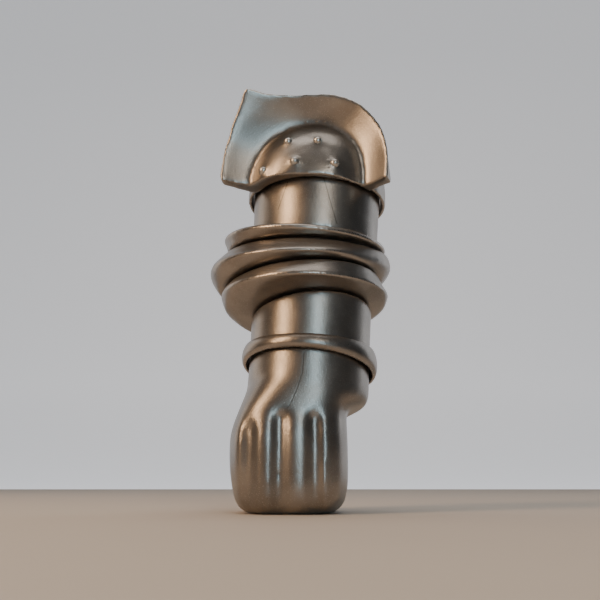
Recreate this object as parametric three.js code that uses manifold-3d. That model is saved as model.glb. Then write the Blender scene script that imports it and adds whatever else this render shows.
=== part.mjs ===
// Arm and shoulder guard of a toy knight: a flared, riveted shoulder cap, an upper and a
// lower tube, three lapped elbow rims, a wrist ring and a closed gauntlet that it stands on.
// Millimetres, +Z up. The origin lies on the flat base of the gauntlet and the knuckle side
// faces -Y. The limb's own frame has its Z along the limb and leans back and to the right.
import * as THREE from "three";
import { mergeVertices } from "three/addons/utils/BufferGeometryUtils.js";
import Module from "manifold-3d";

const wasm = await Module();
wasm.setup();

// Stance of the limb over the base
const LEAN_BACK = 6; // degrees
const LEAN_RIGHT = 2.9; // degrees
const FOOT_X = 2.25; // where the limb's axis meets the ground
const FOOT_Y = -2;
const GAP = 0.3; // between pieces that meet

// Heights along the limb
const HAND_HEIGHT = 20.5;
const SLEEVE_LENGTH = 3.8; // of the gauntlet's round wrist end, above the hand
const SLEEVE_TOP = HAND_HEIGHT + SLEEVE_LENGTH;
const CUFF_OVERLAP = 2.2; // of the wrist ring over the sleeve
const CUFF_HEIGHT = 4.25;
const CUFF_BOTTOM = SLEEVE_TOP - CUFF_OVERLAP;
const CUFF_TOP = CUFF_BOTTOM + CUFF_HEIGHT;
const LOWER_CANNON_LENGTH = 8; // from the sleeve to the elbow
const ELBOW_BOTTOM = SLEEVE_TOP + LOWER_CANNON_LENGTH;
const LOWER_CUP_DEPTH = 2.9;
const LOWER_RIM_HEIGHT = ELBOW_BOTTOM + LOWER_CUP_DEPTH;
const LOWER_NECK_HEIGHT = 2; // from the lower rim up to the middle lame
const LOWER_LAME_TOP = LOWER_RIM_HEIGHT + LOWER_NECK_HEIGHT;
const MIDDLE_LAME_HEIGHT = 6.3;
const MIDDLE_LAME_TOP = LOWER_LAME_TOP + MIDDLE_LAME_HEIGHT;
const UPPER_LAME_HEIGHT = 2.25;
const ELBOW_TOP = MIDDLE_LAME_TOP + UPPER_LAME_HEIGHT;
const UPPER_CANNON_LENGTH = 6.75; // that shows between the elbow and the collar
const COLLAR_BOTTOM = ELBOW_TOP + UPPER_CANNON_LENGTH;

// Rise of each slanted edge over one radius, to the right and to the back
const SLEEVE_BOTTOM_SLANT = { radius: 10, right: 2.9, back: 0.3 };
const CUFF_BOTTOM_SLANT = { radius: 11, right: -0.5, back: -1.05 };
const CUFF_TOP_SLANT = { radius: 10.5, right: 0, back: 0.65 };
const ELBOW_BOTTOM_SLANT = { radius: 10, right: 1.2, back: -0.9 };
const LOWER_RIM_SLANT = { radius: 14.5, right: 0.8, back: 1.2 };
const LOWER_LAME_SLANT = { radius: 13.8, right: 1.5, back: 0.2 };
const MIDDLE_LAME_SLANT = { radius: 13.3, right: 0.5, back: 2.6 };
const ELBOW_TOP_SLANT = { radius: 14.4, right: -0.3, back: 3.1 };

// Tubes and the hollow for the arm
const WRIST_RADIUS = 10;
const FOREARM_RADIUS = 10.25; // at the elbow
const UPPER_ARM_RADIUS = 11.1; // at the elbow
const SHOULDER_END_RADIUS = 11.55;
const WALL = 1.7;

// Wrist ring
const CUFF_PROUD = 1; // of the tube that it rings

// Elbow rims
const LAME_SHIFT = -1.8; // their common centre, to the left of the limb's axis
const UPPER_RIM_RADIUS = 14.4;
const UPPER_RIM_THICKNESS = 1.3;
const MIDDLE_RIM_RADIUS = 16.4;
const LOWER_RIM_RADIUS = 14.5;
const LOWER_RIM_THICKNESS = 0.9;

// Shoulder cap
const CAP_TURN = 4; // degrees, toward the left
const CAP_RIM = 0.75; // of the cap round the tube's socket
const CAP_RADIUS = SHOULDER_END_RADIUS + GAP + CAP_RIM;
const CAP_BAND = 3.6; // straight height of the band under the cap
const CAP_HEIGHT = 17;
const CAP_FOOT = 1; // the band's lower edge over the collar's foot, at the cap's axis
const CAP_FOOT_SLANT = { radius: 12.6, right: 0, back: 0.9 };
const SOCKET_DEPTH = 3.6; // the upper tube goes this far into the cap
const ARMHOLE_RADIUS = 6.6;
const ARMHOLE_HEIGHT = 7.4;

// Collar round the dome
const COLLAR_SHIFT = -1.4;
const DOME_WIDTH = 9.6; // half width at the valley
const DOME_HEIGHT = 12.3;
const DOME_SWELL = 0.5; // of the dome before the cap
const DOME_FRONT = CAP_RADIUS + DOME_SWELL; // before the cap's axis
const VALLEY_DEPTH = 3.8; // behind the dome's front
const VALLEY_FRONT = DOME_FRONT - VALLEY_DEPTH;
const COLLAR_REACH = 20.1; // from the middle of the collar to its tip
const COLLAR_FLARE = 3.5; // the edge stands this far before the valley
const TIP_FROM = 98.5; // degrees, where the edge begins to rise to the tip
const TIP_TO = 148.5;
const FLARE_CURVE = 1.3; // how hollow the flare is, 1 being straight
const TIP_RISE = 0.95; // slope of the flare past the plain edge
const COLLAR_THICKNESS = 2.1;
const COLLAR_ROOT = 2.8; // thickness at the valley
const COLLAR_EDGE_ROUND = 0.3;
const COLLAR_FLANGE = 0.9; // the back edge stands out past the front edge

// Rivets
const RIVET_RADIUS = 0.82;
const RIVET_SINK = 0.1; // centre below the dome's surface
const RIVET_CLEARANCE = 0.2;

// Gauntlet
const HAND_X = 0.2;
const HAND_WIDTH = 9.3; // half width
const HAND_FRONT = 11.6;
const HAND_BACK = 10;
const HAND_ROUNDNESS = 3.4; // exponent of the section's rounded square
const WRIST_ROUNDNESS = 2.2; // and where the hand meets the sleeve
const ROUND_FROM = 0.75; // shares of HAND_HEIGHT between which it changes
const ROUND_TO = 1;
const HAND_FLOOR = 3;
const HAND_HOLLOW_X = 6.5; // half sizes of the hollow in the hand
const HAND_HOLLOW_Y = 7.1;
const HAND_HOLLOW_SHIFT = -0.7;
const SLEEVE_SINK = 6.5; // of the sleeve's foot into the hand, on the limb's axis
const BORE_SINK = 2.5; // of the arm's round hollow into the hand
const SLEEVE_BOTTOM = HAND_HEIGHT - SLEEVE_SINK;
const BORE_BOTTOM = HAND_HEIGHT - BORE_SINK;
const SLEEVE_ROUND = 1.2;
const GROOVE_DEPTH = 1.05;
const GROOVE_WIDTH = 2.9;
const GROOVE_TOP_ROUND = 1.4;

const ROUND_STEPS = 48;

// The rim of the collar from its right foot, over the top and tip, to its left foot.
// reach: share of COLLAR_REACH; flange: share of COLLAR_FLANGE; flare: share of COLLAR_FLARE.
const COLLAR_RIM = [
  { degrees: 0, reach: 0.68, flange: 1, flare: 0.94 },
  { degrees: 8, reach: 0.694, flange: 0.6, flare: 0.95 },
  { degrees: 16, reach: 0.716, flange: 0.15, flare: 1 },
  { degrees: 27, reach: 0.756, flange: 0, flare: 1 },
  { degrees: 38.5, reach: 0.802, flange: 0, flare: 1 },
  { degrees: 48.5, reach: 0.831, flange: 0, flare: 1 },
  { degrees: 58.5, reach: 0.862, flange: 0, flare: 1 },
  { degrees: 68.5, reach: 0.869, flange: 0, flare: 1 },
  { degrees: 77.5, reach: 0.863, flange: 0, flare: 1 },
  { degrees: 88, reach: 0.846, flange: 0, flare: 1 },
  { degrees: 98.5, reach: 0.84, flange: 0, flare: 1 },
  { degrees: 108, reach: 0.864, flange: 0, flare: 0.98 },
  { degrees: 115, reach: 0.904, flange: 0, flare: 0.955 },
  { degrees: 118.5, reach: 0.946, flange: 0, flare: 0.935 },
  { degrees: 121.5, reach: 0.986, flange: 0, flare: 0.92 },
  { degrees: 123.8, reach: 1, flange: 0, flare: 0.905 },
  { degrees: 126, reach: 0.98, flange: 0, flare: 0.89 },
  { degrees: 129, reach: 0.942, flange: 0, flare: 0.87 },
  { degrees: 134.5, reach: 0.894, flange: 0, flare: 0.82 },
  { degrees: 148.5, reach: 0.807, flange: 0, flare: 0.69 },
  { degrees: 166, reach: 0.746, flange: 0, flare: 0.58 },
  { degrees: 177, reach: 0.732, flange: 0, flare: 0.56 },
  { degrees: 180, reach: 0.716, flange: 0, flare: 0.56 },
];

// Where each rivet sits on the dome, as shares of DOME_WIDTH and DOME_HEIGHT
const RIVETS = [
  { right: -0.75, up: 0.135 },
  { right: -0.333, up: 0.577 },
  { right: 0.196, up: 0.576 },
  { right: -0.183, up: 0.194 },
  { right: 0.514, up: 0.198 },
];

// Neck under the upper rim, as a share of UPPER_RIM_RADIUS, from the front round by the right
const UPPER_NECK = [
  { degrees: 0, neck: 0.9 },
  { degrees: 45, neck: 0.91 },
  { degrees: 90, neck: 0.985 },
  { degrees: 135, neck: 0.96 },
  { degrees: 180, neck: 0.92 },
  { degrees: 225, neck: 0.93 },
  { degrees: 270, neck: 0.945 },
  { degrees: 315, neck: 0.915 },
];

// The middle lame from its neck down to its foot. The radii are shares of MIDDLE_RIM_RADIUS
// and the drops are shares of the height between the lame's two slanted ends.
const MIDDLE_LAME = [
  { degrees: 0, neck: 0.787, belly: 0.812, bellyDrop: 0.32, edge: 0.9, edgeDrop: 0.76,
    nose: 0.902, noseDrop: 0.85, under: 0.86, underDrop: 0.93, foot: 0.81 },
  { degrees: 45, neck: 0.808, belly: 0.835, bellyDrop: 0.34, edge: 0.868, edgeDrop: 0.66,
    nose: 0.868, noseDrop: 0.75, under: 0.858, underDrop: 0.87, foot: 0.845 },
  { degrees: 90, neck: 0.905, belly: 0.938, bellyDrop: 0.28, edge: 0.945, edgeDrop: 0.45,
    nose: 0.93, noseDrop: 0.62, under: 0.88, underDrop: 0.82, foot: 0.818 },
  { degrees: 135, neck: 0.86, belly: 0.91, bellyDrop: 0.32, edge: 0.945, edgeDrop: 0.5,
    nose: 0.94, noseDrop: 0.62, under: 0.895, underDrop: 0.8, foot: 0.825 },
  { degrees: 180, neck: 0.82, belly: 0.895, bellyDrop: 0.34, edge: 0.955, edgeDrop: 0.54,
    nose: 0.955, noseDrop: 0.64, under: 0.915, underDrop: 0.8, foot: 0.845 },
  { degrees: 225, neck: 0.83, belly: 0.92, bellyDrop: 0.3, edge: 0.98, edgeDrop: 0.5,
    nose: 0.99, noseDrop: 0.61, under: 0.95, underDrop: 0.77, foot: 0.87 },
  { degrees: 270, neck: 0.84, belly: 0.927, bellyDrop: 0.2, edge: 0.985, edgeDrop: 0.4,
    nose: 1, noseDrop: 0.55, under: 0.98, underDrop: 0.7, foot: 0.89 },
  { degrees: 315, neck: 0.81, belly: 0.85, bellyDrop: 0.3, edge: 0.945, edgeDrop: 0.55,
    nose: 0.952, noseDrop: 0.65, under: 0.9, underDrop: 0.82, foot: 0.835 },
];

// The lower lame: neck and belly over the rim, and the cup under it. The radii are shares of
// LOWER_RIM_RADIUS; the cup's drops are shares of the height from the rim to the lower end.
const LOWER_LAME = [
  { degrees: 0, neck: 0.915, belly: 0.955, rim: 1, cup: 0.93, cupDrop: 0.4, lip: 0.8, lipDrop: 0.85 },
  { degrees: 45, neck: 0.945, belly: 0.97, rim: 1.01, cup: 0.95, cupDrop: 0.45, lip: 0.84, lipDrop: 0.88 },
  { degrees: 90, neck: 0.92, belly: 0.96, rim: 1.03, cup: 1, cupDrop: 0.55, lip: 0.88, lipDrop: 0.93 },
  { degrees: 135, neck: 0.93, belly: 0.965, rim: 1.01, cup: 0.96, cupDrop: 0.5, lip: 0.84, lipDrop: 0.9 },
  { degrees: 180, neck: 0.935, belly: 0.965, rim: 0.99, cup: 0.93, cupDrop: 0.46, lip: 0.81, lipDrop: 0.88 },
  { degrees: 225, neck: 0.93, belly: 0.955, rim: 0.97, cup: 0.91, cupDrop: 0.46, lip: 0.78, lipDrop: 0.88 },
  { degrees: 270, neck: 0.935, belly: 0.95, rim: 0.965, cup: 0.91, cupDrop: 0.46, lip: 0.76, lipDrop: 0.88 },
  { degrees: 315, neck: 0.905, belly: 0.94, rim: 0.98, cup: 0.91, cupDrop: 0.44, lip: 0.77, lipDrop: 0.87 },
];

// The hand's sections. up: share of HAND_HEIGHT; left and right: shares of HAND_WIDTH;
// front and back: shares of HAND_FRONT and HAND_BACK.
const HAND_SECTIONS = [
  { up: 0, left: 0.66, right: 0.72, front: 0.8, back: 0.84 },
  { up: 0.02, left: 0.77, right: 0.8, front: 0.88, back: 0.91 },
  { up: 0.05, left: 0.84, right: 0.88, front: 0.94, back: 0.95 },
  { up: 0.1, left: 0.9, right: 0.94, front: 0.98, back: 0.98 },
  { up: 0.2, left: 0.95, right: 0.98, front: 1, back: 1 },
  { up: 0.32, left: 0.99, right: 0.99, front: 1, back: 1 },
  { up: 0.44, left: 1, right: 0.99, front: 1, back: 1 },
  { up: 0.54, left: 1, right: 0.99, front: 0.99, back: 1 },
  { up: 0.6, left: 0.975, right: 0.985, front: 0.975, back: 0.99 },
  { up: 0.635, left: 0.955, right: 0.983, front: 0.962, back: 0.985 },
  { up: 0.67, left: 0.93, right: 0.98, front: 0.947, back: 0.98 },
  { up: 0.7, left: 0.905, right: 0.975, front: 0.932, back: 0.975 },
  { up: 0.73, left: 0.88, right: 0.98, front: 0.925, back: 0.97 },
  { up: 0.78, left: 0.84, right: 1.02, front: 0.908, back: 0.96 },
  { up: 0.88, left: 0.77, right: 1.18, front: 0.878, back: 0.93 },
  { up: 1, left: 0.69, right: 1.24, front: 0.832, back: 0.88 },
];

// The three grooves between the fingers: place as a share of HAND_WIDTH, top as a share of
// HAND_HEIGHT
const GROOVES = [
  { right: -0.613, top: 0.67 },
  { right: -0.129, top: 0.735 },
  { right: 0.409, top: 0.73 },
];

const radians = THREE.MathUtils.degToRad;
const smoothstep = THREE.MathUtils.smoothstep;
const lerp = THREE.MathUtils.lerp;

function solid(geometry) {
  const bare = new THREE.BufferGeometry();
  bare.setAttribute("position", geometry.getAttribute("position"));
  bare.setIndex(geometry.index);
  const merged = mergeVertices(bare, 1e-4);
  const kept = [];
  const index = merged.index.array;
  for (let i = 0; i < index.length; i += 3) {
    const [a, b, c] = [index[i], index[i + 1], index[i + 2]];
    if (a !== b && b !== c && c !== a) kept.push(a, b, c);
  }
  const mesh = new wasm.Mesh({
    numProp: 3,
    vertProperties: new Float32Array(merged.attributes.position.array),
    triVerts: new Uint32Array(kept),
  });
  return new wasm.Manifold(mesh);
}

function geometryOf(body) {
  const mesh = body.getMesh();
  const geometry = new THREE.BufferGeometry();
  geometry.setAttribute("position", new THREE.BufferAttribute(mesh.vertProperties, 3));
  geometry.setIndex(new THREE.BufferAttribute(mesh.triVerts, 1));
  geometry.computeVertexNormals();
  return geometry;
}

// A lathed body whose rows of points are moved to where place(angle, row) puts them
function shapedLathe(rows, angles, place) {
  const profile = Array.from({ length: rows }, (_, row) => new THREE.Vector2(1, row));
  const geometry = new THREE.LatheGeometry(profile, angles.length);
  const position = geometry.getAttribute("position");
  for (let i = 0; i <= angles.length; i++) {
    for (let row = 0; row < rows; row++) {
      const point = place(angles[i % angles.length], row);
      position.setXYZ(i * rows + row, point.x, point.y, point.z);
    }
  }
  return geometry;
}

function evenAngles(count) {
  return Array.from({ length: count }, (_, i) => (i * 360) / count);
}

// A round body about Z from a profile of radius and height, closed on the axis
function turned(profile, steps = ROUND_STEPS) {
  const points = profile.map(([radius, height]) => new THREE.Vector2(radius, height));
  return new THREE.LatheGeometry(points, steps).rotateX(Math.PI / 2);
}

// A smooth closed curve through a table's values, read at any angle
function roundTable(table, column) {
  const count = table.length;
  return (degrees) => {
    const place = (((degrees % 360) + 360) % 360) / (360 / count);
    const first = Math.floor(place);
    const t = place - first;
    const [a, b, c, d] = [-1, 0, 1, 2].map(
      (step) => table[(first + step + count) % count][column],
    );
    const bend = 2 * a - 5 * b + 4 * c - d + (3 * b - a - 3 * c + d) * t;
    return b + 0.5 * t * (c - a + t * bend);
  };
}

function roundTables(table) {
  const columns = Object.keys(table[0]).filter((name) => name !== "degrees");
  const curves = columns.map((name) => [name, roundTable(table, name)]);
  return (degrees) => Object.fromEntries(curves.map(([name, at]) => [name, at(degrees)]));
}

// Straight steps between a table's rows, read along one of its columns
function alongTable(table, key, value, column) {
  let i = 1;
  while (i < table.length - 1 && table[i][key] < value) i++;
  const [low, high] = [table[i - 1], table[i]];
  const t = THREE.MathUtils.clamp((value - low[key]) / (high[key] - low[key]), 0, 1);
  return lerp(low[column], high[column], t);
}

const limb = new THREE.Group();
limb.rotation.set(radians(-LEAN_BACK), radians(LEAN_RIGHT), 0);
limb.position.set(FOOT_X, FOOT_Y, 0);
limb.updateMatrixWorld(true);

function slantedHeight(height, slant, x, y) {
  return height + (slant.right * x + slant.back * y) / slant.radius;
}

// Outer radius of the bare tubes at a height along the limb
function tubeRadius(height) {
  if (height < LOWER_LAME_TOP) {
    const t = (height - SLEEVE_TOP) / (ELBOW_BOTTOM - SLEEVE_TOP);
    return lerp(WRIST_RADIUS, FOREARM_RADIUS, THREE.MathUtils.clamp(t, 0, 1));
  }
  const t = (height - ELBOW_TOP) / (COLLAR_BOTTOM - ELBOW_TOP);
  return lerp(UPPER_ARM_RADIUS, SHOULDER_END_RADIUS, THREE.MathUtils.clamp(t, 0, 1));
}

// The hollow for the arm, from the hand up into the shoulder cap
function limbHollow(from = SLEEVE_TOP - WALL, to = COLLAR_BOTTOM + 2 * SOCKET_DEPTH) {
  const bottom = WRIST_RADIUS - WALL;
  const top = SHOULDER_END_RADIUS - WALL;
  const length = COLLAR_BOTTOM - SLEEVE_TOP;
  const radiusAt = (height) => bottom + ((top - bottom) * (height - SLEEVE_TOP)) / length;
  return solid(turned([
    [0, from],
    [radiusAt(from), from],
    [radiusAt(to), to],
    [0, to],
  ]));
}

// A tube whose ends follow slanted planes
function slantedTube(bottom, bottomSlant, top, topSlant) {
  const rows = 4;
  const body = shapedLathe(rows, evenAngles(ROUND_STEPS), (angle, row) => {
    const upper = row >= rows / 2;
    const onAxis = row === 0 || row === rows - 1;
    const radius = onAxis ? 0 : tubeRadius(upper ? top : bottom);
    const x = radius * Math.sin(radians(angle));
    const y = -radius * Math.cos(radians(angle));
    const z = upper ? slantedHeight(top, topSlant, x, y) : slantedHeight(bottom, bottomSlant, x, y);
    return { x, y, z };
  });
  return solid(body);
}

const LEVEL = { radius: 1, right: 0, back: 0 };

function upperCannon() {
  const top = COLLAR_BOTTOM + SOCKET_DEPTH - GAP;
  const tube = slantedTube(ELBOW_TOP + GAP, ELBOW_TOP_SLANT, top, LEVEL);
  return geometryOf(tube.subtract(limbHollow()));
}

function lowerCannon() {
  const tube = slantedTube(SLEEVE_TOP + GAP, LEVEL, ELBOW_BOTTOM - GAP, ELBOW_BOTTOM_SLANT);
  return geometryOf(tube.subtract(limbHollow()));
}

// A lame from rows of {radius, height(x, y)} at each angle about the lames' shifted centre
function lame(rowsAt, rowCount) {
  const body = shapedLathe(rowCount + 2, evenAngles(ROUND_STEPS), (angle, row) => {
    const rows = rowsAt(angle);
    const onAxis = row === 0 || row === rowCount + 1;
    const at = rows[THREE.MathUtils.clamp(row - 1, 0, rowCount - 1)];
    const radius = onAxis ? 0 : at.radius;
    const x = LAME_SHIFT + radius * Math.sin(radians(angle));
    const y = -radius * Math.cos(radians(angle));
    return { x, y, z: at.height(x, y) };
  });
  return geometryOf(solid(body).subtract(limbHollow()));
}

const elbowTopAt = (x, y) => slantedHeight(ELBOW_TOP, ELBOW_TOP_SLANT, x - LAME_SHIFT, y);
const middleTopAt = (x, y) =>
  slantedHeight(MIDDLE_LAME_TOP, MIDDLE_LAME_SLANT, x - LAME_SHIFT, y);
const lowerTopAt = (x, y) => slantedHeight(LOWER_LAME_TOP, LOWER_LAME_SLANT, x - LAME_SHIFT, y);
const lowerRimAt = (x, y) =>
  slantedHeight(LOWER_RIM_HEIGHT, LOWER_RIM_SLANT, x - LAME_SHIFT, y);
const elbowBottomAt = (x, y) => slantedHeight(ELBOW_BOTTOM, ELBOW_BOTTOM_SLANT, x, y);

function elbowLameUpper() {
  const neckAt = roundTable(UPPER_NECK, "neck");
  const round = UPPER_RIM_THICKNESS / 3;
  const rows = (angle) => {
    const neck = UPPER_RIM_RADIUS * neckAt(angle);
    const down = (drop) => (x, y) => elbowTopAt(x, y) - drop;
    return [
      { radius: neck, height: (x, y) => middleTopAt(x, y) + GAP / 2 },
      { radius: UPPER_RIM_RADIUS - round, height: down(UPPER_RIM_THICKNESS) },
      { radius: UPPER_RIM_RADIUS, height: down(UPPER_RIM_THICKNESS * 0.75) },
      { radius: UPPER_RIM_RADIUS, height: down(UPPER_RIM_THICKNESS * 0.35) },
      { radius: UPPER_RIM_RADIUS - round, height: elbowTopAt },
    ];
  };
  return lame(rows, 5);
}

function elbowLameMiddle() {
  const sizesAt = roundTables(MIDDLE_LAME);
  const rows = (angle) => {
    const at = sizesAt(angle);
    const between = (drop) => (x, y) =>
      lerp(middleTopAt(x, y) - GAP / 2, lowerTopAt(x, y) + GAP / 2, drop);
    const row = (share, drop) => ({ radius: MIDDLE_RIM_RADIUS * share, height: between(drop) });
    return [
      row(at.foot, 1),
      row(at.under, at.underDrop),
      row(at.nose, at.noseDrop),
      row(at.edge, at.edgeDrop),
      row(at.belly, at.bellyDrop),
      row(at.neck, 0),
    ];
  };
  return lame(rows, 6);
}

// How far the bare tube's surface is from the lames' shifted centre, at an angle
function tubeFromLameCentre(angle) {
  const side = LAME_SHIFT * Math.sin(radians(angle));
  return -side + Math.sqrt(side ** 2 - LAME_SHIFT ** 2 + FOREARM_RADIUS ** 2);
}

function elbowLameLower() {
  const sizesAt = roundTables(LOWER_LAME);
  const rows = (angle) => {
    const at = sizesAt(angle);
    const rim = LOWER_RIM_RADIUS * at.rim;
    const round = LOWER_RIM_THICKNESS / 4;
    const above = (rise) => (x, y) => lowerRimAt(x, y) + rise;
    const cup = (drop) => (x, y) =>
      lerp(lowerRimAt(x, y) - LOWER_RIM_THICKNESS / 2, elbowBottomAt(x, y), drop);
    const belly = (x, y) =>
      lerp(lowerTopAt(x, y) - GAP / 2, lowerRimAt(x, y) + LOWER_RIM_THICKNESS / 2, 0.6);
    return [
      { radius: tubeFromLameCentre(angle), height: elbowBottomAt },
      { radius: LOWER_RIM_RADIUS * at.lip, height: cup(at.lipDrop) },
      { radius: LOWER_RIM_RADIUS * at.cup, height: cup(at.cupDrop) },
      { radius: rim - round, height: above(-LOWER_RIM_THICKNESS / 2) },
      { radius: rim, height: above(-round) },
      { radius: rim, height: above(round) },
      { radius: rim - round, height: above(LOWER_RIM_THICKNESS / 2) },
      { radius: LOWER_RIM_RADIUS * at.belly, height: belly },
      { radius: LOWER_RIM_RADIUS * at.neck, height: (x, y) => lowerTopAt(x, y) - GAP / 2 },
    ];
  };
  return lame(rows, 9);
}

// The widest of the tubes that the ring goes round, and the clearance
function cuffInner() {
  return Math.max(WRIST_RADIUS, tubeRadius(CUFF_TOP + CUFF_TOP_SLANT.back)) + GAP;
}

function wristCuff() {
  const inner = cuffInner();
  const proud = CUFF_PROUD;
  const profile = [
    { radius: inner, drop: 1 },
    { radius: inner + 0.45 * proud, drop: 1 },
    { radius: inner + 0.9 * proud, drop: 0.86 },
    { radius: inner + proud, drop: 0.62 },
    { radius: inner + 0.85 * proud, drop: 0.32 },
    { radius: inner + 0.4 * proud, drop: 0.06 },
    { radius: inner + 0.15 * proud, drop: 0 },
    { radius: inner, drop: 0 },
    { radius: inner, drop: 1 },
  ];
  const body = shapedLathe(profile.length, evenAngles(ROUND_STEPS), (angle, row) => {
    const { radius, drop } = profile[row];
    const x = radius * Math.sin(radians(angle));
    const y = -radius * Math.cos(radians(angle));
    const top = slantedHeight(CUFF_TOP, CUFF_TOP_SLANT, x, y);
    return { x, y, z: lerp(top, slantedHeight(CUFF_BOTTOM, CUFF_BOTTOM_SLANT, x, y), drop) };
  });
  return geometryOf(solid(body));
}

// Half sizes of the dome's outline give the valley's distance from the middle of the collar
function valleyReach(degrees) {
  const across = Math.cos(radians(degrees)) / DOME_WIDTH;
  const up = Math.sin(radians(degrees)) / DOME_HEIGHT;
  return 1 / Math.hypot(across, up);
}

// Reach of the collar's edge where its tip is left out, so that the flare runs on under the tip
function plainReach(degrees) {
  const table = COLLAR_RIM.filter((row) => row.degrees <= TIP_FROM || row.degrees >= TIP_TO);
  return COLLAR_REACH * alongTable(table, "degrees", degrees, "reach");
}

// Share of the flare at a share of the way from the valley to the plain edge, and beyond it
function flareShare(share) {
  return share < 1 ? Math.max(share, 0) ** FLARE_CURVE : 1 + TIP_RISE * (share - 1);
}

// How far the dome's surface stands before the cap's axis, at a share of the way to the valley
function domeFront(share) {
  const swell = (1 - share ** 3.2) ** 1.25;
  return VALLEY_FRONT + (DOME_FRONT - VALLEY_FRONT) * swell;
}

// The collar and the dome's face, turned about the line from the middle of the collar to the
// front, and mirrored below its foot, where it is cut off
function collar() {
  const rim = (angle, column) => alongTable(COLLAR_RIM, "degrees", angle, column);
  const upper = COLLAR_RIM.flatMap(({ degrees }, i) => {
    const next = COLLAR_RIM[i + 1];
    return next && next.degrees - degrees > 7 ? [degrees, (degrees + next.degrees) / 2] : [degrees];
  });
  const angles = [...upper, 205, 240, 270, 300, 335];
  const domeRows = [0.9, 0.8, 0.68, 0.52, 0.3, 0];
  const flareRows = [1, 0.8, 0.6, 0.4, 0.2, 0];
  const rows = 3 + flareRows.length + domeRows.length;
  const body = shapedLathe(rows + 1, angles, (angle, row) => {
    const folded = angle > 180 ? 360 - angle : angle;
    const valley = valleyReach(folded);
    const edge = COLLAR_REACH * rim(folded, "reach");
    const fullFlare = COLLAR_FLARE * rim(folded, "flare");
    const plain = plainReach(folded) - valley;
    const flareAt = (at) => fullFlare * flareShare((at - valley) / plain);
    const flare = flareAt(edge);
    const flange = COLLAR_FLANGE * rim(folded, "flange");
    let reach = 0;
    let front = VALLEY_FRONT - COLLAR_ROOT;
    if (row === 1) reach = valley;
    else if (row === 2) {
      reach = edge + flange;
      front = VALLEY_FRONT + flare - COLLAR_THICKNESS - flange / 2;
    } else if (row === 3) {
      reach = edge;
      front = VALLEY_FRONT + flare - COLLAR_EDGE_ROUND;
    } else if (row > 3 && row < 4 + flareRows.length) {
      const share = flareRows[row - 4];
      reach = lerp(valley, edge - COLLAR_EDGE_ROUND, share);
      front = VALLEY_FRONT + flareAt(reach);
    } else if (row > 3) {
      const share = domeRows[row - 4 - flareRows.length];
      reach = valley * share;
      front = domeFront(share);
    }
    const x = COLLAR_SHIFT + reach * Math.cos(radians(angle));
    return { x, y: -front, z: reach * Math.sin(radians(angle)) };
  });
  const below = new THREE.BoxGeometry(4 * COLLAR_REACH, 4 * COLLAR_REACH, 2 * COLLAR_REACH);
  below.translate(0, 0, -COLLAR_REACH);
  return solid(body).subtract(solid(below));
}

// A round cap over a straight band whose lower edge is slanted, shrunk by inset
function capBody(inset) {
  const radius = CAP_RADIUS - inset;
  const height = CAP_HEIGHT - inset - CAP_BAND;
  const steps = 7;
  const rows = steps + 3;
  const body = shapedLathe(rows, evenAngles(ROUND_STEPS), (angle, row) => {
    const turn = (Math.max(row - 2, 0) * Math.PI) / 2 / steps;
    const out = row === 0 || row === rows - 1 ? 0 : radius * Math.cos(turn);
    const x = out * Math.sin(radians(angle));
    const y = -out * Math.cos(radians(angle));
    const foot = slantedHeight(CAP_FOOT, CAP_FOOT_SLANT, x, y);
    return { x, y, z: row < 2 ? foot : CAP_BAND + height * Math.sin(turn) };
  });
  return solid(body);
}

function armhole() {
  const reach = CAP_RADIUS + COLLAR_ROOT;
  const hole = new THREE.CylinderGeometry(ARMHOLE_RADIUS, ARMHOLE_RADIUS, reach, 32);
  hole.translate(0, reach / 2 + ARMHOLE_RADIUS / 2, ARMHOLE_HEIGHT);
  return solid(hole);
}

function rivetPlace({ right, up }) {
  const share = Math.hypot(right, up);
  return new THREE.Vector3(
    COLLAR_SHIFT + right * DOME_WIDTH,
    -(domeFront(share) - RIVET_SINK),
    up * DOME_HEIGHT,
  );
}

function rivetBall(radius) {
  return new THREE.SphereGeometry(radius, 10, 6);
}

function pauldron() {
  const socketRadius = SHOULDER_END_RADIUS + GAP;
  const socket = turned([
    [0, -GAP],
    [socketRadius, -GAP],
    [socketRadius, SOCKET_DEPTH],
    [0, SOCKET_DEPTH],
  ]);
  let body = capBody(0).add(collar());
  body = body.subtract(capBody(WALL)).subtract(solid(socket)).subtract(armhole());
  for (const rivet of RIVETS) {
    const { x, y, z } = rivetPlace(rivet);
    body = body.subtract(solid(rivetBall(RIVET_RADIUS + RIVET_CLEARANCE).translate(x, y, z)));
  }
  return geometryOf(body);
}

// A corner-rounded square in polar form, one unit to each side
function roundedSquare(degrees, exponent) {
  const x = Math.sin(radians(degrees));
  const y = -Math.cos(radians(degrees));
  const reach = (Math.abs(x) ** exponent + Math.abs(y) ** exponent) ** (-1 / exponent);
  return { x: x * reach, y: y * reach };
}

// Depth of the grooves between the fingers at a place on the hand's front
function grooveDepth(x, z) {
  const depths = GROOVES.map((groove) => {
    const off = Math.abs(x - groove.right * HAND_WIDTH) / (GROOVE_WIDTH / 2);
    if (off >= 1) return 0;
    const top = groove.top * HAND_HEIGHT - 0.5 * GROOVE_TOP_ROUND * off ** 2;
    const fade = 1 - smoothstep(z, top - GROOVE_TOP_ROUND, top);
    return GROOVE_DEPTH * Math.cos((off * Math.PI) / 2) ** 1.5 * fade;
  });
  return Math.max(...depths);
}

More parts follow.
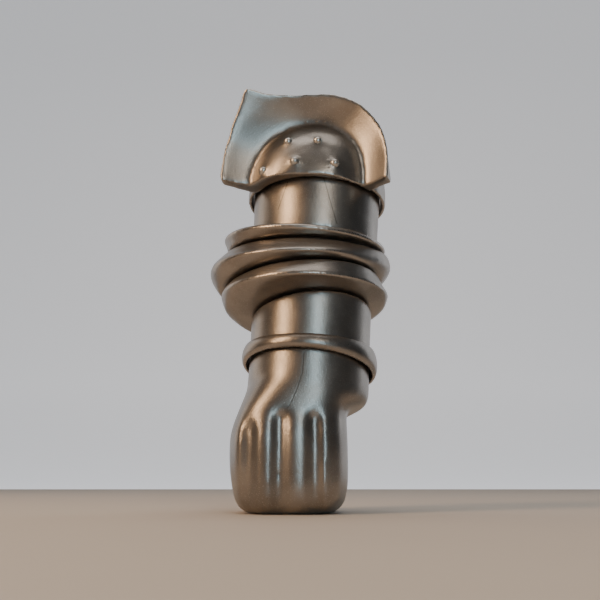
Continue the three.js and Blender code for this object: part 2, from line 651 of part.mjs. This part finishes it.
function handBody() {
  const front = Array.from({ length: 33 }, (_, i) => -48 + 3 * i);
  const rest = Array.from({ length: 21 }, (_, i) => 60 + 12 * i);
  const angles = [...front, ...rest];
  const heights = HAND_SECTIONS.map(({ up }) => up);
  const rows = heights.length + 2;
  const body = shapedLathe(rows, angles, (angle, row) => {
    const onAxis = row === 0 || row === rows - 1;
    const up = heights[THREE.MathUtils.clamp(row - 1, 0, heights.length - 1)];
    const at = (column) => alongTable(HAND_SECTIONS, "up", up, column);
    const toWrist = smoothstep(up, ROUND_FROM, ROUND_TO);
    const unit = roundedSquare(angle, lerp(HAND_ROUNDNESS, WRIST_ROUNDNESS, toWrist));
    const middle = (HAND_WIDTH * (at("right") - at("left"))) / 2;
    const half = (HAND_WIDTH * (at("right") + at("left"))) / 2;
    const z = up * HAND_HEIGHT;
    if (onAxis) return { x: HAND_X + middle, y: 0, z };
    const depth = unit.y < 0 ? HAND_FRONT * at("front") : HAND_BACK * at("back");
    const x = middle + half * unit.x;
    const onFront = unit.y < -0.75 && row > 1;
    const y = unit.y * depth + (onFront ? grooveDepth(x, z) : 0);
    return { x: HAND_X + x, y, z };
  });
  return solid(body);
}

function handHollow() {
  const top = BORE_BOTTOM + WALL;
  const hollow = turned([[0, HAND_FLOOR], [1, HAND_FLOOR], [1, top], [0, top]], 32);
  hollow.scale(HAND_HOLLOW_X, HAND_HOLLOW_Y, 1);
  hollow.translate(HAND_X, HAND_HOLLOW_SHIFT, 0);
  return solid(hollow);
}

function onLimb(body) {
  return solid(geometryOf(body).applyMatrix4(limb.matrixWorld));
}

// The round wrist end of the gauntlet, its lower edge slanted and rounded
function sleeve() {
  const profile = [
    { radius: 0, rise: 0 },
    { radius: WRIST_RADIUS - SLEEVE_ROUND, rise: 0 },
    { radius: WRIST_RADIUS - 0.3 * SLEEVE_ROUND, rise: 0.35 * SLEEVE_ROUND },
    { radius: WRIST_RADIUS, rise: 1.2 * SLEEVE_ROUND },
    { radius: WRIST_RADIUS, top: true },
    { radius: 0, top: true },
  ];
  const body = shapedLathe(profile.length, evenAngles(ROUND_STEPS), (angle, row) => {
    const { radius, rise, top } = profile[row];
    const x = radius * Math.sin(radians(angle));
    const y = -radius * Math.cos(radians(angle));
    const foot = slantedHeight(SLEEVE_BOTTOM, SLEEVE_BOTTOM_SLANT, x, y);
    return { x, y, z: top ? SLEEVE_TOP : foot + rise };
  });
  return solid(body);
}

// Room for the wrist ring over the hand, outside the sleeve
function cuffSeat() {
  const low = CUFF_BOTTOM - GAP - Math.abs(CUFF_BOTTOM_SLANT.back) - Math.abs(CUFF_BOTTOM_SLANT.right);
  const outer = cuffInner() + CUFF_PROUD + GAP;
  return solid(turned([
    [WRIST_RADIUS, low],
    [outer, low],
    [outer, CUFF_TOP],
    [WRIST_RADIUS, CUFF_TOP],
    [WRIST_RADIUS, low],
  ]));
}

function gauntlet() {
  const hand = handBody().subtract(onLimb(cuffSeat()));
  const shell = onLimb(sleeve()).add(hand);
  const bore = onLimb(limbHollow(BORE_BOTTOM, SLEEVE_TOP + WALL));
  return geometryOf(shell.subtract(bore).subtract(handHollow()));
}

const pewter = { color: 0x8b8782, roughness: 0.36, metalness: 0.9 };
const polishedRivet = { color: 0xa5a09a, roughness: 0.3, metalness: 0.9 };

function piece(parent, name, geometry, finish = pewter) {
  const mesh = new THREE.Mesh(geometry, new THREE.MeshStandardMaterial(finish));
  mesh.name = name;
  parent.add(mesh);
  return mesh;
}

const guard = new THREE.Group();
guard.add(limb);

const shoulder = new THREE.Group();
shoulder.position.set(0, 0, COLLAR_BOTTOM);
shoulder.rotation.z = radians(-CAP_TURN);
limb.add(shoulder);

piece(shoulder, "pauldron", pauldron());
RIVETS.forEach((rivet, i) => {
  const head = piece(shoulder, `rivet_${i + 1}`, rivetBall(RIVET_RADIUS), polishedRivet);
  head.position.copy(rivetPlace(rivet));
});
piece(limb, "upper_cannon", upperCannon());
piece(limb, "elbow_lame_upper", elbowLameUpper());
piece(limb, "elbow_lame_middle", elbowLameMiddle());
piece(limb, "elbow_lame_lower", elbowLameLower());
piece(limb, "lower_cannon", lowerCannon());
piece(limb, "wrist_cuff", wristCuff());
piece(guard, "gauntlet", gauntlet());

export default guard;
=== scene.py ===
"""Looks of the arm and shoulder guard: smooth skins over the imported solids, rivets and stage."""
import math

import bmesh
import bpy
import numpy as np
from bpy.props import FloatProperty, FloatVectorProperty, PointerProperty
from mathutils import Matrix, Vector


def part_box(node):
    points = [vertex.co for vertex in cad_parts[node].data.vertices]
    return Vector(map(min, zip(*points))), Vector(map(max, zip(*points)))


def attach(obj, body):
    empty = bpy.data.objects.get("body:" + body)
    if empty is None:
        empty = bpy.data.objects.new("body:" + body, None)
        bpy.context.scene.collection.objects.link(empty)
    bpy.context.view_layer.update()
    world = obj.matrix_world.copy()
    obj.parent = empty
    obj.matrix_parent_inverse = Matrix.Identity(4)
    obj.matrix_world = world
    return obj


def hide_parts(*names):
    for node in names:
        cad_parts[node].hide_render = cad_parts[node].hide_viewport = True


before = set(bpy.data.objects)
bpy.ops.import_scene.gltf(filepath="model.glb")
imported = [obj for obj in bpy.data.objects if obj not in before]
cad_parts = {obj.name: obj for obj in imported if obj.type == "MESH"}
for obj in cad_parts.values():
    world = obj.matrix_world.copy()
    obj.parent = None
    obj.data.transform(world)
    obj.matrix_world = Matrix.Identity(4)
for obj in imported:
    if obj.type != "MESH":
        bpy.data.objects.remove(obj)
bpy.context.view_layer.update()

bl_info = {
    "name": "Arm and shoulder guard",
    "version": (1, 0, 0),
    "blender": (4, 5, 0),
    "location": "View3D > Sidebar > Guard",
    "description": "Finishes the arm and shoulder guard and sets its stage",
    "category": "Object",
}

MM = 0.001
BODY = "root"
RIVET_NODES = [f"rivet_{i}" for i in range(1, 6)]
MERGE_DISTANCE = 0.002 * MM  # between corners of loose triangles that are one point

# Voxel of each shell's remesh
VOXELS = {
    "pauldron": 0.20 * MM,
    "upper_cannon": 0.20 * MM,
    "elbow_lame_upper": 0.19 * MM,
    "elbow_lame_middle": 0.21 * MM,
    "elbow_lame_lower": 0.20 * MM,
    "lower_cannon": 0.20 * MM,
    "wrist_cuff": 0.17 * MM,
    "gauntlet": 0.23 * MM,
}

# Smoothing: rounds over the whole shell, then rounds that pass over its gentle bends alone
SOFT_ROUNDS = 12
FACET_ROUNDS = 45
PULL = 0.5  # share of the way to its neighbours' mean that a point moves in a round
GENTLE_BEND = math.radians(5)  # between neighbouring points, smoothed in full
SHARP_BEND = math.radians(13)  # and from here on left to the rounds along the edges
HOLLOW_SHARE = 0.35  # a hollow's bend counts less, so hollows are rounded as in a casting
EDGE_BLUR = 3  # rounds over the map of edges, so that no single point stands out
EDGE_ROUNDS = 6  # rounds along the edges, which take the voxels' steps out of them

# The rivets' seats: how far their points reach, and the ball that fills each from within
SEAT_REACH = 1.05 * MM
PLUG_RADIUS = 1.6 * MM
PLUG_DEPTH = 1.1 * MM
PLUG_DETAIL = 3
RIVET_SEGMENTS = 32
RIVET_RINGS = 20

# Bends of the surface, in 1/m, from which its ridges get a painted highlight and its hollows
# painted shade
BEND_BLUR = 4  # rounds over the map of bends
HIGHLIT_RIDGE_BENDS = (500, 1900)
SHADED_HOLLOW_BENDS = (500, 2200)

# The metal's patterns: each noise's scale, detail and roughness, and the parts of it that show
CLOUD = (160.0, 3.0, 0.5)
PEBBLE = (3000.0, 2.0, 0.5)
GRAIN = (4200.0, 2.0, 0.6)
GLINT_SPECK = (6500.0, 1.0, 0.5)
CLOUD_SHOWS = (0.35, 0.65)
GLINT_SPECK_SHOWS = (0.60, 0.72)
GRAIN_DEPTH = 0.045 * MM

PEBBLE_SHARE = 0.45  # of the relief, and the grain has the rest
SEAM_DEPTH = 0.15  # in the same measure as the relief

# Tones of the metal, as shares of its colour, and how fully each is laid over the last; the glint
# tone is painted glints, the ridges' tone a painted highlight and the hollows' tone painted shade
DULL, BRIGHT, GLINT, PAINTED_RIDGE_HIGHLIGHT, PAINTED_SHADE, SEAM_TONE = 0.84, 1.1, 1.8, 1.5, 0.35, 0.3
GLINT_SHARE, PAINTED_RIDGE_HIGHLIGHT_SHARE, PAINTED_SHADE_SHARE, SEAM_SHARE = 0.45, 0.5, 0.55, 0.62

# How much the noises vary the roughness, and how much smoother the ridges with the painted
# highlight are
ROUGH_GRAIN = 0.14
ROUGH_CLOUD = 0.08
RIDGE_POLISH = 0.05

# The floor's and the wall's faint mottle
MOTTLE = (60.0, 4.0, 0.6)
MOTTLE_DARK = 0.97

# A parting line: from where to where it fades, across it, past its ends and round the side
SEAM_ACROSS = (0.04 * MM, 0.14 * MM)
SEAM_END = 0.2 * MM
SEAM_SIDE = (-3 * MM, -1 * MM)

# The mould's parting lines over the front, each a row of (x, z) in millimetres
SEAMS = {
    "upper_cannon": [[(-0.2, 53.4), (-1.75, 48.7)], [(5.9, 53.5), (7.95, 45.4)]],
    "gauntlet": [[(2.5, 23.6), (2.28, 20.5), (1.45, 18.0), (0.6, 15.9), (0.15, 15.1)]],
}


class Expr:
    """A socket that adds Math nodes as it is used in an expression."""

    def __init__(self, shader, socket):
        self.shader = shader
        self.socket = socket

    def math(self, operation, *values, clamp=False):
        settings = {"operation": operation, "use_clamp": clamp}
        sockets = {i: value for i, value in enumerate((self, *values))}
        return self.shader.node("ShaderNodeMath", settings, sockets)

    def __add__(self, other):
        return self.math("ADD", other)

    __radd__ = __add__

    def __mul__(self, other):
        return self.math("MULTIPLY", other)

    __rmul__ = __mul__

    def __sub__(self, other):
        return self.math("SUBTRACT", other)

    def __rsub__(self, other):
        return (self * -1) + other

    def clamped(self):
        return self.math("ADD", 0, clamp=True)

    def smooth(self, low, high):
        """0 below low and 1 above high, eased between."""
        settings = {"interpolation_type": "SMOOTHSTEP"}
        sockets = {"Value": self, "From Min": low, "From Max": high}
        return self.shader.node("ShaderNodeMapRange", settings, sockets)


class Shader:
    """Builds one material's nodes."""

    def __init__(self, name):
        self.material = bpy.data.materials.new(name)
        self.material.use_nodes = True
        self.tree = self.material.node_tree
        self.surface = self.tree.nodes["Principled BSDF"]

    def fill(self, node, sockets):
        for key, value in sockets.items():
            socket = node.inputs[key]
            if isinstance(value, Expr):
                self.tree.links.new(value.socket, socket)
            else:
                socket.default_value = value

    def node(self, kind, settings=None, sockets=None, output=0):
        node = self.tree.nodes.new(kind)
        for key, value in (settings or {}).items():
            setattr(node, key, value)
        self.fill(node, sockets or {})
        return Expr(self, node.outputs[output])

    def place(self):
        return self.node("ShaderNodeTexCoord", output="Object")

    def noise(self, place, scale, detail, roughness):
        sockets = {"Vector": place, "Scale": scale, "Detail": detail, "Roughness": roughness}
        return self.node("ShaderNodeTexNoise", None, sockets, output="Fac")

    def mix(self, factor, first, second):
        node = self.tree.nodes.new("ShaderNodeMix")
        node.data_type = "RGBA"
        colours = [socket for socket in node.inputs if socket.type == "RGBA"]
        self.fill(node, {0: factor})
        for socket, value in zip(colours, (first, second)):
            if isinstance(value, Expr):
                self.tree.links.new(value.socket, socket)
            else:
                socket.default_value = (*value, 1.0)
        result = next(socket for socket in node.outputs if socket.type == "RGBA")
        return Expr(self, result)

    def bump(self, height, strength, distance):
        sockets = {"Height": height, "Strength": strength, "Distance": distance}
        return self.node("ShaderNodeBump", None, sockets, output="Normal")


def seam_mask(shader, place, lines):
    """1 on the parting lines of the front, 0 away from them."""
    split = shader.tree.nodes.new("ShaderNodeSeparateXYZ")
    shader.fill(split, {0: place})
    x, y, z = (Expr(shader, output) for output in split.outputs)
    mask = None
    for line in lines:
        for (x0, z0), (x1, z1) in zip(line, line[1:]):
            slope = (x1 - x0) / (z1 - z0)
            across = (x - ((z - z0 * MM) * slope + x0 * MM)).math("ABSOLUTE")
            near = 1 - across.smooth(*SEAM_ACROSS)
            low, high = min(z0, z1) * MM, max(z0, z1) * MM
            within = z.smooth(low - SEAM_END, low) * (1 - z.smooth(high, high + SEAM_END))
            part = near * within * (1 - y.smooth(*SEAM_SIDE))
            mask = part if mask is None else mask.math("MAXIMUM", part)
    return mask


def tinted(colour, share):
    """A share of a colour, no part of it past white."""
    return [min(1.0, share * part) for part in colour]


def pewter(name, colour, sizes, lines=()):
    """Satin grey metal: cloudy tone, fine grain, painted glints in specks, a painted highlight on
    smoother ridges and painted shade in the hollows.
    """
    shader = Shader(name)
    place = shader.place()
    bend = shader.node("ShaderNodeAttribute", {"attribute_name": "bend"}, output="Fac")
    # the ridges: a painted highlight laid into the colour, and a little less roughness
    highlit_ridge = bend.smooth(*HIGHLIT_RIDGE_BENDS)
    # the hollows: painted shade laid into the colour
    hollow_shade = (bend * -1).smooth(*SHADED_HOLLOW_BENDS)
    cloud = shader.noise(place, *CLOUD)
    pebble = shader.noise(place, *PEBBLE)
    grain = shader.noise(place, *GRAIN)
    # bright specks: painted glints laid into the colour
    glint_specks = shader.noise(place, *GLINT_SPECK).smooth(*GLINT_SPECK_SHOWS)
    tone = shader.mix(cloud.smooth(*CLOUD_SHOWS), tinted(colour, DULL), tinted(colour, BRIGHT))
    tone = shader.mix(glint_specks * GLINT_SHARE, tone, tinted(colour, GLINT))
    tone = shader.mix(highlit_ridge * PAINTED_RIDGE_HIGHLIGHT_SHARE, tone, tinted(colour, PAINTED_RIDGE_HIGHLIGHT))
    tone = shader.mix(hollow_shade * PAINTED_SHADE_SHARE, tone, tinted(colour, PAINTED_SHADE))
    height = pebble * PEBBLE_SHARE + grain * (1 - PEBBLE_SHARE)
    if lines:
        seam = seam_mask(shader, place, lines)
        tone = shader.mix(seam * SEAM_SHARE, tone, tinted(colour, SEAM_TONE))
        height = height - seam * SEAM_DEPTH
    steady = sizes.roughness - (ROUGH_GRAIN + ROUGH_CLOUD) / 2
    rough = grain * ROUGH_GRAIN + cloud * ROUGH_CLOUD + steady - highlit_ridge * RIDGE_POLISH
    normal = shader.bump(height, sizes.grain, GRAIN_DEPTH)
    shader.fill(shader.surface, {
        "Base Color": tone,
        "Metallic": 0.95,
        "Roughness": rough.clamped(),
        "Normal": normal,
    })
    return shader.material


def plain(name, colour, roughness, glow=0.0):
    """Faintly mottled paint, for the floor and the wall."""
    shader = Shader(name)
    mottle = shader.noise(shader.place(), *MOTTLE)
    tone = shader.mix(mottle, tinted(colour, MOTTLE_DARK), colour)
    shader.fill(shader.surface, {
        "Base Color": tone,
        "Roughness": roughness,
        "Emission Color": (*colour, 1),
        "Emission Strength": glow,
    })
    return shader.material


def link(name, data):
    """A new object in the scene, at the origin."""
    piece = bpy.data.objects.new(name, data)
    bpy.context.scene.collection.objects.link(piece)
    return piece


def settle(piece, slot, *nodes):
    """Makes the piece ride and stand for its nodes; the slot is not used."""
    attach(piece, BODY)
    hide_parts(*nodes)


def baked(piece):
    """Turns the live modifiers into plain mesh."""
    graph = bpy.context.evaluated_depsgraph_get()
    mesh = bpy.data.meshes.new_from_object(piece.evaluated_get(graph))
    piece.modifiers.clear()
    old = piece.data
    piece.data = mesh
    bpy.data.meshes.remove(old)
    return piece


def merged_copy(node):
    """A joined copy of a node's loose triangles, in the frame."""
    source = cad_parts[node]
    mesh = bpy.data.meshes.new(node)
    joined = bmesh.new()
    joined.from_mesh(source.data)
    joined.transform(source.matrix_world)
    bmesh.ops.remove_doubles(joined, verts=joined.verts, dist=MERGE_DISTANCE)
    joined.to_mesh(mesh)
    joined.free()
    return mesh


def rivet_middle(node):
    low, high = (Vector(corner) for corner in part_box(node))
    return (low + high) / 2


def fill_seats(mesh):
    """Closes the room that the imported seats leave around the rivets' heads."""
    joined = bmesh.new()
    joined.from_mesh(mesh)
    joined.normal_update()
    plugs = []
    for node in RIVET_NODES:
        middle = rivet_middle(node)
        opening = Vector()
        for face in joined.faces:
            if all((point.co - middle).length < SEAT_REACH for point in face.verts):
                opening += face.normal * face.calc_area()
        plugs.append(Matrix.Translation(middle - opening.normalized() * PLUG_DEPTH))
    for plug in plugs:
        bmesh.ops.create_icosphere(
            joined, subdivisions=PLUG_DETAIL, radius=PLUG_RADIUS, matrix=plug,
        )
    joined.to_mesh(mesh)
    joined.free()


def held_inside(mesh, node):
    """Keeps smoothing from leaving the node's own box."""
    low, high = (Vector(corner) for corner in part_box(node))
    for vertex in mesh.vertices:
        for axis in range(3):
            vertex.co[axis] = min(max(vertex.co[axis], low[axis]), high[axis])


def averaged(values, first, second, count):
    """Each point's mean of its neighbours' values, which are rows of one or more columns."""
    total = np.zeros_like(values)
    for column in range(values.shape[1]):
        total[:, column] = np.bincount(first, values[second, column], len(values))
        total[:, column] += np.bincount(second, values[first, column], len(values))
    return total / count[:, None]


def point_normals(mesh):
    normals = np.empty(len(mesh.vertices) * 3)
    mesh.vertex_normals.foreach_get("vector", normals)
    return normals.reshape(-1, 3)


def smoothed(mesh):
    """Rounds the voxels off, then takes the facets out of gentle bends and the steps off edges."""
    size = len(mesh.vertices)
    places = np.empty(size * 3)
    mesh.vertices.foreach_get("co", places)
    places = places.reshape(size, 3)
    edges = np.empty(len(mesh.edges) * 2, dtype=np.int32)
    mesh.edges.foreach_get("vertices", edges)
    first, second = edges.reshape(-1, 2).T
    count = np.bincount(edges, minlength=size).clip(1)
    for _ in range(SOFT_ROUNDS):
        places += PULL * (averaged(places, first, second, count) - places)
    mesh.vertices.foreach_set("co", places.ravel())
    mesh.update()

    gentle = gentle_map(places, point_normals(mesh), first, second, count)
    for _ in range(FACET_ROUNDS):
        places += PULL * gentle * (averaged(places, first, second, count) - places)
    for _ in range(EDGE_ROUNDS):
        share = averaged(1 - gentle, first, second, count).clip(0.001)
        along = averaged(places * (1 - gentle), first, second, count) / share
        places += PULL * (1 - gentle) * (along - places)
    mesh.vertices.foreach_set("co", places.ravel())
    mesh.update()
    mark_bends(mesh, places, first, second, count)


def gentle_map(places, normals, first, second, count):
    """1 where the surface bends gently, 0 on its edges."""
    bend = np.arccos(np.clip((normals[first] * normals[second]).sum(1), -1, 1))
    across = ((places[second] - places[first]) * (normals[second] - normals[first])).sum(1)
    bend[across < 0] *= HOLLOW_SHARE
    sharpest = np.zeros(len(places))
    np.maximum.at(sharpest, first, bend)
    np.maximum.at(sharpest, second, bend)
    gentle = np.clip((SHARP_BEND - sharpest) / (SHARP_BEND - GENTLE_BEND), 0, 1)[:, None]
    for _ in range(EDGE_BLUR):
        gentle = averaged(gentle, first, second, count)
    return gentle


def mark_bends(mesh, places, first, second, count):
    """Keeps how much the surface bends at each point: above 0 on ridges, below in hollows."""
    size = len(places)
    spans = ((places[first] - places[second]) ** 2).sum(1)
    span = (np.bincount(first, spans, size) + np.bincount(second, spans, size)) / count
    outward = ((places - averaged(places, first, second, count)) * point_normals(mesh)).sum(1)
    bend = (4 * outward / span.clip(1e-12))[:, None]
    for _ in range(BEND_BLUR):
        bend = averaged(bend, first, second, count)
    marks = mesh.attributes.new("bend", "FLOAT", "POINT")
    marks.data.foreach_set("value", bend[:, 0].astype(np.float32))


def shell(node, material):
    """A node's solid, remeshed fine and smoothed, in place of its facets."""
    piece = link(f"{node}_skin", merged_copy(node))
    if node == "pauldron":
        fill_seats(piece.data)
    remesh = piece.modifiers.new("Fine", "REMESH")
    remesh.mode = "VOXEL"
    remesh.voxel_size = VOXELS[node]
    remesh.use_smooth_shade = True
    baked(piece)
    smoothed(piece.data)
    held_inside(piece.data, node)
    piece.data.materials.clear()
    piece.data.materials.append(material)
    piece.data.polygons.foreach_set("material_index", [0] * len(piece.data.polygons))
    piece.data.shade_smooth()
    settle(piece, "pewter_look", node)
    return piece


class GUARD_PG_finish(bpy.types.PropertyGroup):
    """Colours and finish of the guard."""

    colour: FloatVectorProperty(
        name="Metal", description="Colour of the metal", subtype="COLOR",
        default=(0.33, 0.30, 0.27), min=0, max=1,
    )
    rivet: FloatVectorProperty(
        name="Rivets", description="Colour of the rivets", subtype="COLOR",
        default=(0.52, 0.50, 0.47), min=0, max=1,
    )
    roughness: FloatProperty(
        name="Roughness", description="Middle roughness of the metal",
        default=0.33, min=0, max=1,
    )
    grain: FloatProperty(
        name="Grain", description="Strength of the fine surface grain",
        default=0.7, min=0, max=1,
    )
    rivet_radius: FloatProperty(
        name="Rivet radius", description="Radius of a rivet's head", default=0.80 * MM,
        unit="LENGTH", subtype="DISTANCE", precision=5,
    )


# The camera, in pixels of the photograph's frame: its focal length, half the frame's width,
# and how far the horizon lies below the middle
FOCAL, HALF_FRAME, HORIZON = 650, 300, 185


class GUARD_PG_stage(bpy.types.PropertyGroup):
    """The view and the light."""

    eye: FloatVectorProperty(
        name="Eye", description="Place of the camera", unit="LENGTH", subtype="TRANSLATION",
        default=(1.9 * MM, -107 * MM, 4.1 * MM), precision=5,
    )
    pitch: FloatProperty(
        name="Pitch", description="Upward tilt of the view",
        default=math.atan2(HORIZON, FOCAL), unit="ROTATION", subtype="ANGLE",
    )
    lens_angle: FloatProperty(
        name="Lens angle", description="Width of the view",
        default=2 * math.atan2(HALF_FRAME, FOCAL), unit="ROTATION", subtype="ANGLE",
    )
    floor: FloatVectorProperty(
        name="Floor", description="Colour of the floor", subtype="COLOR",
        default=(0.57, 0.49, 0.41), min=0, max=1,
    )
    backdrop: FloatVectorProperty(
        name="Backdrop", description="Colour of the wall behind", subtype="COLOR",
        default=(0.80, 0.82, 0.86), min=0, max=1,
    )


def finish_sizes():
    """The colours and finish set in the panel."""
    return bpy.context.scene.guard_finish


def make_shells(nodes):
    """A skin of its own metal for each node."""
    sizes = finish_sizes()
    for node in nodes:
        name = f"pewter_{node}"
        shell(node, pewter(name, list(sizes.colour), sizes, SEAMS.get(node, ())))


class GUARD_OT_pauldron(bpy.types.Operator):
    """Makes the shoulder cap with its flared collar"""

    bl_idname = "guard.pauldron"
    bl_label = "Shoulder cap"

    def execute(self, context):
        make_shells(["pauldron"])
        return {"FINISHED"}


class GUARD_OT_tubes(bpy.types.Operator):
    """Makes the upper and lower tubes and the wrist ring"""

    bl_idname = "guard.tubes"
    bl_label = "Tubes and wrist ring"

    def execute(self, context):
        make_shells(["upper_cannon", "lower_cannon", "wrist_cuff"])
        return {"FINISHED"}


class GUARD_OT_elbow(bpy.types.Operator):
    """Makes the three lapped elbow rims"""

    bl_idname = "guard.elbow"
    bl_label = "Elbow rims"

    def execute(self, context):
        make_shells(["elbow_lame_upper", "elbow_lame_middle", "elbow_lame_lower"])
        return {"FINISHED"}


class GUARD_OT_gauntlet(bpy.types.Operator):
    """Makes the closed gauntlet"""

    bl_idname = "guard.gauntlet"
    bl_label = "Gauntlet"

    def execute(self, context):
        make_shells(["gauntlet"])
        return {"FINISHED"}


def rivet_tree(material):
    """Geometry nodes: a round head on each point."""
    tree = bpy.data.node_groups.new("Rivet heads", "GeometryNodeTree")
    face = tree.interface
    face.new_socket("Points", in_out="INPUT", socket_type="NodeSocketGeometry")
    face.new_socket("Radius", in_out="INPUT", socket_type="NodeSocketFloat")
    face.new_socket("Heads", in_out="OUTPUT", socket_type="NodeSocketGeometry")
    make = tree.nodes.new
    start, end = make("NodeGroupInput"), make("NodeGroupOutput")
    ball = make("GeometryNodeMeshUVSphere")
    ball.inputs["Segments"].default_value = RIVET_SEGMENTS
    ball.inputs["Rings"].default_value = RIVET_RINGS
    place = make("GeometryNodeInstanceOnPoints")
    real = make("GeometryNodeRealizeInstances")
    shade = make("GeometryNodeSetShadeSmooth")
    paint = make("GeometryNodeSetMaterial")
    paint.inputs["Material"].default_value = material
    join = tree.links.new
    join(start.outputs["Radius"], ball.inputs["Radius"])
    join(start.outputs["Points"], place.inputs["Points"])
    join(ball.outputs["Mesh"], place.inputs["Instance"])
    join(place.outputs[0], real.inputs[0])
    join(real.outputs[0], shade.inputs["Geometry"])
    join(shade.outputs[0], paint.inputs["Geometry"])
    join(paint.outputs[0], end.inputs["Heads"])
    return tree


class GUARD_OT_rivets(bpy.types.Operator):
    """Sets the round rivet heads on the dome"""

    bl_idname = "guard.rivets"
    bl_label = "Rivets"

    def execute(self, context):
        sizes = finish_sizes()
        points = bpy.data.meshes.new("rivet_points")
        points.from_pydata([rivet_middle(node) for node in RIVET_NODES], [], [])
        piece = link("rivet_heads", points)
        tree = rivet_tree(pewter("rivet_metal", list(sizes.rivet), sizes))
        heads = piece.modifiers.new("Heads", "NODES")
        heads.node_group = tree
        radius = next(item for item in tree.interface.items_tree if item.name == "Radius")
        heads[radius.identifier] = sizes.rivet_radius
        baked(piece)
        settle(piece, "rivet", *RIVET_NODES)
        return {"FINISHED"}


# The point that the soft panels face, about the middle of the guard
MIDDLE = (2 * MM, 0, 38 * MM)


def area_light(name, turn, rise, far, size, power, colour):
    """A soft panel round the guard: turn from the front to the right, rise from the level."""
    data = bpy.data.lights.new(name, "AREA")
    data.shape = "RECTANGLE"
    data.size, data.size_y = size
    data.energy = power
    data.color = colour
    turn, rise = math.radians(turn), math.radians(rise)
    level = math.cos(rise)
    out = Vector((math.sin(turn) * level, -math.cos(turn) * level, math.sin(rise)))
    lamp = link(name, data)
    facing = (-out).to_track_quat("-Z", "Y").to_matrix().to_4x4()
    lamp.matrix_world = Matrix.Translation(Vector(MIDDLE) + out * far) @ facing
    lamp.visible_camera = False


# The soft panels: turn and rise in degrees, distance and size in metres, watts, colour
PANELS = {
    "warm_left": (-54, 31, 0.30, (0.07, 0.22), 0.54, (1.0, 0.66, 0.39)),
    "cool_front": (12, 11, 0.32, (0.06, 0.17), 0.19, (0.56, 0.83, 1.0)),
    "soft_front": (17, 33, 0.32, (0.08, 0.06), 0.075, (1.0, 0.86, 0.70)),
    "dim_right": (122, 20, 0.34, (0.12, 0.22), 0.05, (0.80, 0.86, 0.94)),
    "far_left": (-118, 20, 0.34, (0.16, 0.24), 0.08, (1.0, 0.76, 0.54)),
    "top": (0, 90, 0.55, (0.40, 0.40), 1.1, (1.0, 0.95, 0.90)),
}


# The stage, in metres
FLOOR_HALF = 2.5
WALL_HALF_WIDTH = 1.6
WALL_START = 0.55
WALL_HEIGHT = 1.2
WALL_CURVE = 0.12
WALL_STEPS = 16
WALL_LIFT = 0.0002  # over the floor, so that the two never lie in one plane
WALL_GLOW = 0.62
SKY_COLOUR = (0.62, 0.68, 0.76, 1)
SKY_STRENGTH = 0.07
NEAREST_SEEN = 0.005


def backdrop(colour):
    """A pale wall that the floor runs up to, behind the guard."""
    mesh = bpy.data.meshes.new("backdrop")
    turns = [i * math.pi / 2 / WALL_STEPS for i in range(WALL_STEPS + 1)]
    rows = [(WALL_START + WALL_CURVE * math.sin(t), WALL_CURVE * (1 - math.cos(t))) for t in turns]
    rows.append((WALL_START + WALL_CURVE, WALL_HEIGHT))
    places = [(side * WALL_HALF_WIDTH, y, z + WALL_LIFT) for y, z in rows for side in (-1, 1)]
    faces = [(2 * i, 2 * i + 1, 2 * i + 3, 2 * i + 2) for i in range(len(rows) - 1)]
    mesh.from_pydata(places, [], faces)
    mesh.materials.append(plain("backdrop_paint", colour, 0.9, WALL_GLOW))
    mesh.polygons.foreach_set("use_smooth", [True] * len(faces))
    return mesh


class GUARD_OT_stage(bpy.types.Operator):
    """Sets the floor, the lights and the camera"""

    bl_idname = "guard.stage"
    bl_label = "Floor, lights and camera"

    def execute(self, context):
        view = context.scene.guard_stage
        floor = bpy.data.meshes.new("floor")
        signs = [(-1, -1), (1, -1), (1, 1), (-1, 1)]
        corners = [(x * FLOOR_HALF, y * FLOOR_HALF, 0) for x, y in signs]
        floor.from_pydata(corners, [], [(0, 1, 2, 3)])
        floor.materials.append(plain("floor_paint", list(view.floor), 0.85))
        link("floor", floor)

        for name, panel in PANELS.items():
            area_light(name, *panel)
        link("backdrop", backdrop(list(view.backdrop)))

        world = context.scene.world or bpy.data.worlds.new("World")
        context.scene.world = world
        world.use_nodes = True
        sky = world.node_tree.nodes["Background"]
        sky.inputs["Color"].default_value = SKY_COLOUR
        sky.inputs["Strength"].default_value = SKY_STRENGTH

        lens = bpy.data.cameras.new("view")
        lens.sensor_fit = "HORIZONTAL"
        lens.angle = view.lens_angle
        lens.clip_start = NEAREST_SEEN
        camera = link("view", lens)
        camera.location = view.eye
        camera.rotation_euler = (math.pi / 2 + view.pitch, 0, 0)
        context.scene.camera = camera
        return {"FINISHED"}


STEPS = (
    GUARD_OT_stage, GUARD_OT_pauldron, GUARD_OT_rivets, GUARD_OT_tubes, GUARD_OT_elbow,
    GUARD_OT_gauntlet,
)


class GUARD_PT_panel(bpy.types.Panel):
    """Lists the guard's steps."""

    bl_label = "Arm and shoulder guard"
    bl_idname = "GUARD_PT_panel"
    bl_space_type = "VIEW_3D"
    bl_region_type = "UI"
    bl_category = "Guard"

    def draw(self, context):
        for name in ("guard_finish", "guard_stage"):
            group = getattr(context.scene, name)
            for key in group.bl_rna.properties.keys():
                if key not in ("rna_type", "name"):
                    self.layout.prop(group, key)
        for step in STEPS:
            self.layout.operator(step.bl_idname)


CLASSES = (GUARD_PG_finish, GUARD_PG_stage, *STEPS, GUARD_PT_panel)


def register():
    for item in CLASSES:
        bpy.utils.register_class(item)
    bpy.types.Scene.guard_finish = PointerProperty(type=GUARD_PG_finish)
    bpy.types.Scene.guard_stage = PointerProperty(type=GUARD_PG_stage)


def unregister():
    del bpy.types.Scene.guard_stage
    del bpy.types.Scene.guard_finish
    for item in reversed(CLASSES):
        bpy.utils.unregister_class(item)


def main():
    register()
    for step in STEPS:
        group, name = step.bl_idname.split(".")
        getattr(getattr(bpy.ops, group), name)()


if __name__ == "__main__":
    main()
